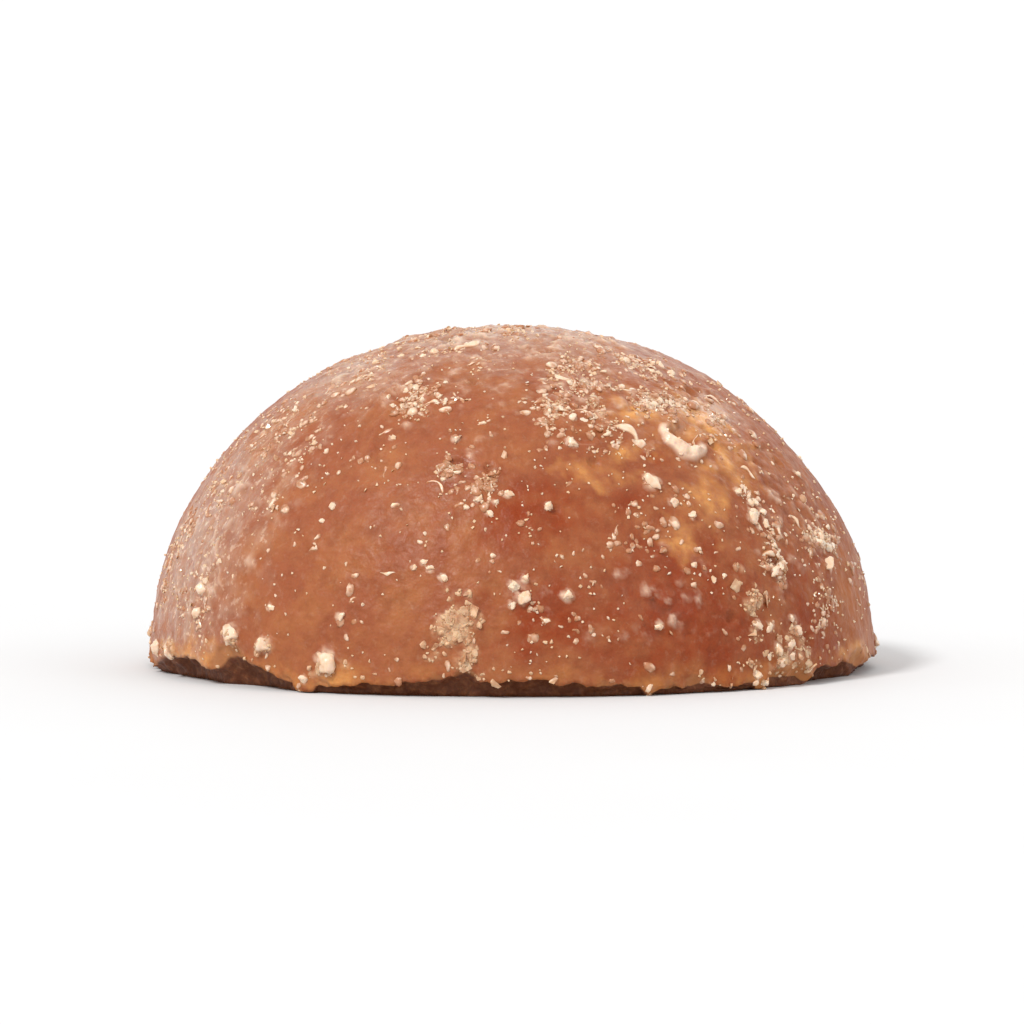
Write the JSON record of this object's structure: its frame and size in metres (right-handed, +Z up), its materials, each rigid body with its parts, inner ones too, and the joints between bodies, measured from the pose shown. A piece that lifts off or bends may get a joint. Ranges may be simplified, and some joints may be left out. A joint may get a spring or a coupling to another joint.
{
  "type": "jaggery lump",
  "caption": "Solid half-round cake of boiled-down cane or palm sugar, with a domed skin, a chipped lower edge and a flat base to rest on.",
  "frame": {"origin": "middle of the flat base, on the surface that the lump rests on", "axes": "+Z up through the crown of the dome, -Y towards the front, +X to the right seen from the front"},
  "size_m": [0.0798, 0.0786, 0.0374],
  "materials": {
    "jaggery": "satin"
  },
  "bodies": {
    "root": {"jaggery_lump": "jaggery"}
  },
  "joints": []
}
